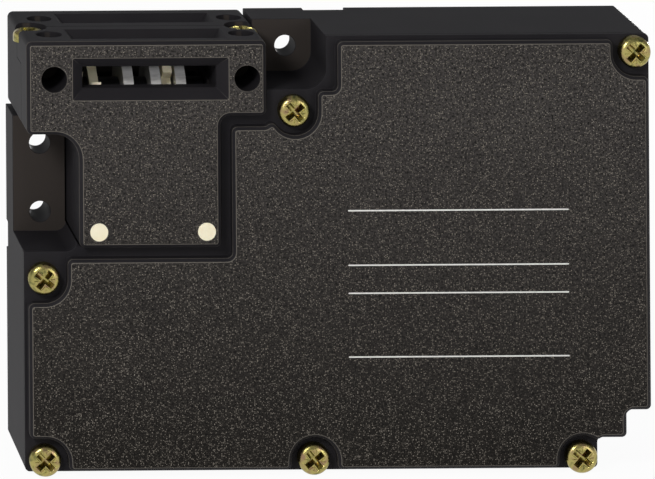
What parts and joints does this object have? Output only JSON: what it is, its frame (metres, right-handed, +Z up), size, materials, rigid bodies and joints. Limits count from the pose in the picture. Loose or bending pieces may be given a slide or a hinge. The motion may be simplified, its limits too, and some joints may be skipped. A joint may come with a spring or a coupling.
{
  "type": "tongue interlock switch",
  "caption": "Flat guard-lock switch: black moulded housing with screwed cover and lugs, T-shaped head with tongue slots, cam wheel, solenoid lock bolt and contact blocks.",
  "frame": {"origin": "centre of the flat rear face", "axes": "+X along the long side to the right seen from the front, +Y into the surface that carries the switch, +Z up; the front looks towards -Y"},
  "size_m": [0.1304, 0.03, 0.0907],
  "materials": {
    "black_plastic": "grained glass-filled moulding",
    "dark_plastic": "moulded",
    "ivory_plastic": "moulded acetal",
    "gasket_rubber": "moulded",
    "yellow_zinc": "yellow passivated zinc plating",
    "bright_steel": "ground",
    "spring_steel": "drawn wire",
    "copper": "enamelled wire",
    "contact_brass": "silver-tipped strip"
  },
  "bodies": {
    "switch_body": {"housing": "black_plastic", "cover": "black_plastic", "cover_gasket": "gasket_rubber", "cover_screws": "yellow_zinc", "head_front_shell": "black_plastic", "head_rear_shell": "black_plastic", "head_screws": "yellow_zinc", "head_dowels": "ivory_plastic", "cam_axle": "bright_steel", "solenoid_yoke": "bright_steel", "fixed_core": "bright_steel", "coil_bobbin": "dark_plastic", "coil_winding": "copper", "coil_terminal_base": "dark_plastic", "coil_terminal_screws": "bright_steel", "tongue_contact_base": "dark_plastic", "tongue_fixed_contacts": "contact_brass", "tongue_terminal_screws": "bright_steel", "lock_contact_base": "dark_plastic", "lock_fixed_contacts": "contact_brass", "lock_terminal_screws": "bright_steel"},
    "cam_wheel": {"cam_hub": "dark_plastic", "lock_disc": "bright_steel", "coding_discs": "bright_steel", "driver_disc": "ivory_plastic", "actuating_cam": "ivory_plastic"},
    "plunger": {"plunger": "ivory_plastic", "plunger_spring": "spring_steel", "tongue_contact_carrier": "ivory_plastic", "tongue_contact_bridges": "contact_brass", "tongue_contact_springs": "spring_steel"},
    "lock": {"lock_bolt": "bright_steel", "bolt_spring": "spring_steel", "push_rod": "bright_steel", "armature": "bright_steel", "lock_bar": "bright_steel", "lock_contact_carrier": "ivory_plastic", "lock_contact_bridges": "contact_brass", "lock_contact_springs": "spring_steel"}
  },
  "joints": [
    {"name": "cam_turn", "type": "hinge", "parent": "switch_body", "child": "cam_wheel", "pos_m": [-0.0388, -0.015, 0.0294], "axis": [-1, 0, 0], "range_deg": [0, 55]},
    {"name": "plunger_slide", "type": "slide", "parent": "switch_body", "child": "plunger", "axis": [0, 0, -1], "range_m": [0, 0.004], "stiffness_N_per_m": 100, "springref_m": -0.002, "deforming": ["plunger_spring"]},
    {"name": "lock_slide", "type": "slide", "parent": "switch_body", "child": "lock", "axis": [0, 0, 1], "range_m": [0, 0.0024], "stiffness_N_per_m": 600, "springref_m": -0.003, "deforming": ["bolt_spring"]}
  ],
  "couplings": [
    {"joint": "cam_turn", "follows": "plunger_slide", "rad_per_m": 239.9}
  ]
}
